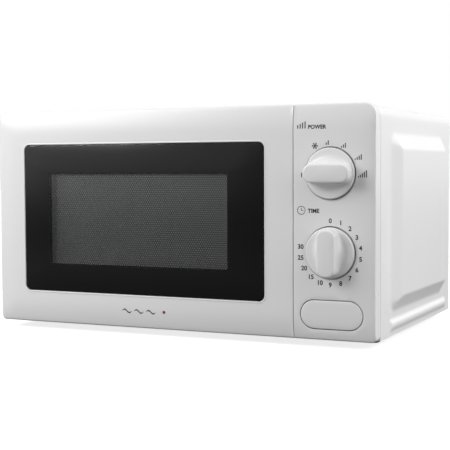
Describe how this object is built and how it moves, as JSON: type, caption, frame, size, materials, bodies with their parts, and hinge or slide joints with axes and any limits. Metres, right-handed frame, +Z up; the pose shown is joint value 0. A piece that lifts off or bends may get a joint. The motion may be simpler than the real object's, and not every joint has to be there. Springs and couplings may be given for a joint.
{
  "type": "microwave oven",
  "caption": "Compact countertop microwave oven with a left-hinged glass door, two rotary control knobs, a push-button latch and a turntable.",
  "frame": {"origin": "on the resting surface under the centre of the oven's box", "axes": "+X to the oven's right seen from the front, +Y from front to back, +Z up"},
  "size_m": [0.457, 0.32, 0.24],
  "materials": {
    "cabinet_enamel": "white powder coat",
    "white_moulding": "gloss white moulded ABS",
    "knob_moulding": "satin white moulded ABS",
    "black_glass": "clear float glass with a black printed border",
    "screen_steel": "dark enamel",
    "clear_glass": "clear",
    "cavity_enamel": "grey enamel",
    "zinc_sheet": "galvanised sheet",
    "steel": "bright zinc plate",
    "spring_steel": "drawn wire",
    "black_moulding": "moulded",
    "grey_moulding": "moulded",
    "natural_moulding": "moulded acetal",
    "choke_moulding": "moulded",
    "mica": "pressed mica sheet",
    "fin_aluminium": "mill finish",
    "ferrite": "sintered",
    "copper_winding": "enamelled winding wire",
    "core_steel": "varnished laminations",
    "circuit_board": "solder mask",
    "lamp_glass": "clear"
  },
  "bodies": {
    "chassis": {"outer_cabinet": "cabinet_enamel", "screws": "steel", "rear_panel": "zinc_sheet", "rear_spacers": "black_moulding", "cord_gland": "black_moulding", "base_plate": "zinc_sheet", "feet": "black_moulding", "front_plate": "cavity_enamel", "cavity_shell": "cavity_enamel", "waveguide_cover": "mica", "hinge_brackets": "steel", "control_panel": "white_moulding", "timer_bracket": "zinc_sheet", "timer_unit": "natural_moulding", "power_selector": "natural_moulding", "latch_board": "natural_moulding", "lever_spring": "spring_steel", "interlock_switches": "grey_moulding", "turntable_motor": "zinc_sheet", "waveguide": "zinc_sheet", "magnetron_yoke": "zinc_sheet", "magnetron_core": "steel", "magnetron_fins": "fin_aluminium", "magnetron_magnets": "ferrite", "magnetron_filter_box": "zinc_sheet", "transformer_core": "core_steel", "transformer_windings": "copper_winding", "hv_capacitor": "fin_aluminium", "capacitor_clamp": "zinc_sheet", "hv_diode": "black_moulding", "fan_shroud": "grey_moulding", "fan_motor": "core_steel", "air_duct": "grey_moulding", "cavity_lamp": "lamp_glass", "lamp_holder": "natural_moulding", "thermal_cutouts": "grey_moulding", "line_filter_board": "circuit_board"},
    "door": {"door_frame": "white_moulding", "door_glass": "black_glass", "choke_frame": "screen_steel", "perforated_screen": "screen_steel", "inner_window": "clear_glass", "choke_cover": "choke_moulding", "latch_spring": "spring_steel", "hinge_pins": "steel"},
    "latch": {"latch_hooks": "natural_moulding"},
    "power_control": {"power_knob": "knob_moulding", "power_shaft": "steel"},
    "timer_control": {"timer_knob": "knob_moulding", "timer_shaft": "steel"},
    "button": {"door_button": "white_moulding"},
    "lever": {"release_lever": "natural_moulding"},
    "tray": {"glass_tray": "clear_glass", "turntable_coupler": "natural_moulding"},
    "ring": {"roller_ring": "natural_moulding"},
    "wheel_1": {"roller_1": "natural_moulding"},
    "wheel_2": {"roller_2": "natural_moulding"},
    "wheel_3": {"roller_3": "natural_moulding"},
    "fan": {"fan_blade": "grey_moulding", "fan_shaft": "steel"}
  },
  "joints": [
    {"name": "door_hinge", "type": "hinge", "parent": "chassis", "child": "door", "pos_m": [-0.2125, -0.1375, 0.124], "axis": [0, 0, -1], "range_deg": [0, 95]},
    {"name": "button_press", "type": "slide", "parent": "chassis", "child": "button", "axis": [0, 1, 0], "range_m": [0, 0.006], "stiffness_N_per_m": 700, "springref_m": -0.002},
    {"name": "lever_turn", "type": "hinge", "parent": "chassis", "child": "lever", "pos_m": [0.17533, -0.121, 0.0535], "axis": [1, 0, 0], "range_deg": [0, 15.5], "deforming": ["lever_spring"]},
    {"name": "latch_lift", "type": "slide", "parent": "door", "child": "latch", "axis": [0, 0, 1], "range_m": [0, 0.006], "deforming": ["latch_spring"]},
    {"name": "power_turn", "type": "hinge", "parent": "chassis", "child": "power_control", "pos_m": [0.17435, -0.144, 0.172], "axis": [0, 1, 0], "range_deg": [0, 180]},
    {"name": "timer_turn", "type": "hinge", "parent": "chassis", "child": "timer_control", "pos_m": [0.17435, -0.144, 0.0945], "axis": [0, 1, 0], "range_deg": [0, 280]},
    {"name": "tray_spin", "type": "hinge", "parent": "chassis", "child": "tray", "pos_m": [-0.049, 0.0055, 0.045], "axis": [0, 0, 1], "continuous": true},
    {"name": "ring_spin", "type": "hinge", "parent": "chassis", "child": "ring", "pos_m": [-0.049, 0.0055, 0.037], "axis": [0, 0, 1], "continuous": true},
    {"name": "fan_spin", "type": "hinge", "parent": "chassis", "child": "fan", "pos_m": [0.1614, 0.1352, 0.172], "axis": [0, 1, 0], "continuous": true},
    {"name": "roller_1_spin", "type": "hinge", "parent": "ring", "child": "wheel_1", "pos_m": [0.048, 0.0055, 0.037], "axis": [-1, 0, 0], "continuous": true},
    {"name": "roller_2_spin", "type": "hinge", "parent": "ring", "child": "wheel_2", "pos_m": [-0.0975, 0.0895, 0.037], "axis": [0.5, -0.866, 0], "continuous": true},
    {"name": "roller_3_spin", "type": "hinge", "parent": "ring", "child": "wheel_3", "pos_m": [-0.0975, -0.0785, 0.037], "axis": [0.5, 0.866, 0], "continuous": true}
  ],
  "couplings": [
    {"joint": "lever_turn", "follows": "button_press", "rad_per_m": 45.088},
    {"joint": "latch_lift", "follows": "button_press", "ratio": 1},
    {"joint": "ring_spin", "follows": "tray_spin", "ratio": 0.5},
    {"joint": "roller_1_spin", "follows": "tray_spin", "ratio": 6.218},
    {"joint": "roller_2_spin", "follows": "tray_spin", "ratio": 6.218},
    {"joint": "roller_3_spin", "follows": "tray_spin", "ratio": 6.218}
  ]
}
